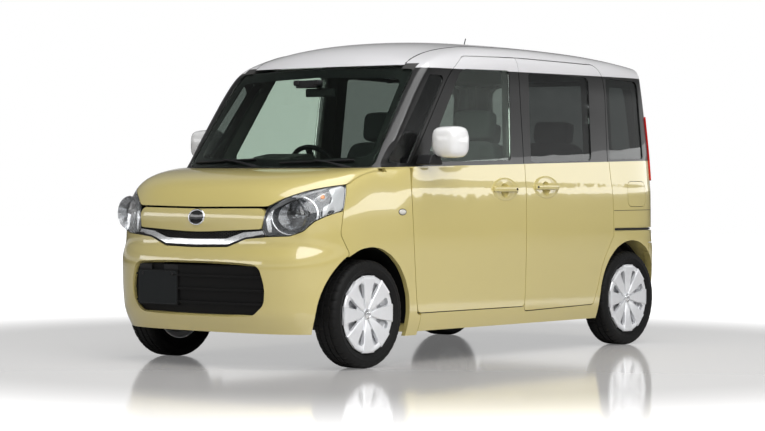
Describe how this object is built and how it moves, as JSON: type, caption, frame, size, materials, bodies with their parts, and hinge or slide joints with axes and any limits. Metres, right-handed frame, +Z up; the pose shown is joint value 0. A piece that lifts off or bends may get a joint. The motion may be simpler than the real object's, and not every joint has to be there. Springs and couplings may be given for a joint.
{
  "type": "tall kei wagon car",
  "caption": "Tall boxy light passenger wagon with hinged front doors, bonnet and tailgate, steered front wheels and a hollow cabin with seats.",
  "frame": {"origin": "on the ground, at the middle of the length and width", "axes": "+Z up, the nose towards -Y, the left side of the car at +X"},
  "size_m": [1.892, 3.3932, 1.8359],
  "materials": {
    "body_paint": "gloss",
    "roof_paint": "gloss",
    "dark_metal": "satin",
    "black_plastic": "matt",
    "grey_plastic": "matt",
    "white_plastic": "gloss",
    "red_lens": "gloss",
    "bright_trim": "polished",
    "lamp_reflector": "bright",
    "clear_glass": "clear",
    "dark_glass": "tinted",
    "lamp_glass": "clear",
    "tyre": "matt",
    "wheel_cover": "satin silver",
    "seat_cloth": "woven",
    "cast_block": "raw",
    "steel": "plain"
  },
  "bodies": {
    "body": {"side_frame_left": "body_paint", "side_frame_right": "body_paint", "roof_panel": "roof_paint", "slide_rails": "dark_metal", "door_rear_left": "body_paint", "door_rear_right": "body_paint", "rear_door_glass": "dark_glass", "quarter_glass": "dark_glass", "fender_left": "body_paint", "fender_right": "body_paint", "headlamp_lenses": "lamp_glass", "headlamps": "lamp_reflector", "nose_panel": "body_paint", "chrome_bar": "bright_trim", "front_bumper": "body_paint", "grille": "black_plastic", "upper_grille": "black_plastic", "rear_bumper": "body_paint", "tail_lamps": "red_lens", "windscreen": "clear_glass", "floor_pan": "dark_metal", "front_structure": "dark_metal", "radiator": "black_plastic", "wheel_liners": "black_plastic", "engine": "cast_block", "front_suspension": "dark_metal", "rear_axle": "dark_metal", "fuel_tank": "black_plastic", "exhaust": "steel", "dashboard": "grey_plastic", "front_seats": "seat_cloth", "rear_seat": "seat_cloth", "antenna": "black_plastic", "wipers": "black_plastic", "inner_mirror": "black_plastic", "cowl_cover": "black_plastic"},
    "hood": {"hood": "body_paint"},
    "door_left": {"door_front_left": "body_paint", "door_glass_left": "clear_glass", "mirror_left": "white_plastic"},
    "door_right": {"door_front_right": "body_paint", "door_glass_right": "clear_glass", "mirror_right": "white_plastic"},
    "tailgate": {"tailgate": "body_paint", "tailgate_glass": "dark_glass"},
    "fuel_lid": {"fuel_lid": "body_paint"},
    "knuckle_left": {"knuckle_left": "cast_block"},
    "knuckle_right": {"knuckle_right": "cast_block"},
    "steering_wheel": {"steering_wheel": "black_plastic"},
    "wheel_front_left": {"tyre_front_left": "tyre", "wheel_front_left": "wheel_cover"},
    "wheel_front_right": {"tyre_front_right": "tyre", "wheel_front_right": "wheel_cover"},
    "wheel_rear_left": {"tyre_rear_left": "tyre", "wheel_rear_left": "wheel_cover"},
    "wheel_rear_right": {"tyre_rear_right": "tyre", "wheel_rear_right": "wheel_cover"}
  },
  "joints": [
    {"name": "hood_hinge", "type": "hinge", "parent": "body", "child": "hood", "pos_m": [0, -1.05, 1.022], "axis": [-1, 0, 0], "range_deg": [0, 50]},
    {"name": "door_left_hinge", "type": "hinge", "parent": "body", "child": "door_left", "pos_m": [0.738, -0.83, 0.9], "axis": [0, 0, -1], "range_deg": [0, 65]},
    {"name": "door_right_hinge", "type": "hinge", "parent": "body", "child": "door_right", "pos_m": [-0.738, -0.83, 0.9], "axis": [0, 0, 1], "range_deg": [0, 65]},
    {"name": "tailgate_hinge", "type": "hinge", "parent": "body", "child": "tailgate", "pos_m": [0, 1.574, 1.646], "axis": [1, 0, 0], "range_deg": [0, 85]},
    {"name": "fuel_lid_hinge", "type": "hinge", "parent": "body", "child": "fuel_lid", "pos_m": [0.738, 1.2225, 0.885], "axis": [0, 0, -1], "range_deg": [0, 90]},
    {"name": "steer_left", "type": "hinge", "parent": "body", "child": "knuckle_left", "pos_m": [0.575, -1.1575, 0.186], "axis": [-0.1349, 0, 0.9909], "range_deg": [-35, 35]},
    {"name": "steer_right", "type": "hinge", "parent": "body", "child": "knuckle_right", "pos_m": [-0.575, -1.1575, 0.186], "axis": [0.1349, 0, 0.9909], "range_deg": [-35, 35]},
    {"name": "steering_wheel_turn", "type": "hinge", "parent": "body", "child": "steering_wheel", "pos_m": [-0.33, -0.33, 0.98], "axis": [0, 0.891, 0.454], "range_deg": [-525, 525]},
    {"name": "spin_front_left", "type": "hinge", "parent": "knuckle_left", "child": "wheel_front_left", "pos_m": [0.6475, -1.1575, 0.275], "axis": [1, 0, 0], "continuous": true},
    {"name": "spin_front_right", "type": "hinge", "parent": "knuckle_right", "child": "wheel_front_right", "pos_m": [-0.6475, -1.1575, 0.275], "axis": [1, 0, 0], "continuous": true},
    {"name": "spin_rear_left", "type": "hinge", "parent": "body", "child": "wheel_rear_left", "pos_m": [0.645, 1.2675, 0.275], "axis": [1, 0, 0], "continuous": true},
    {"name": "spin_rear_right", "type": "hinge", "parent": "body", "child": "wheel_rear_right", "pos_m": [-0.645, 1.2675, 0.275], "axis": [1, 0, 0], "continuous": true}
  ],
  "couplings": [
    {"joint": "steer_right", "follows": "steer_left", "ratio": 1},
    {"joint": "steering_wheel_turn", "follows": "steer_left", "ratio": 15}
  ]
}
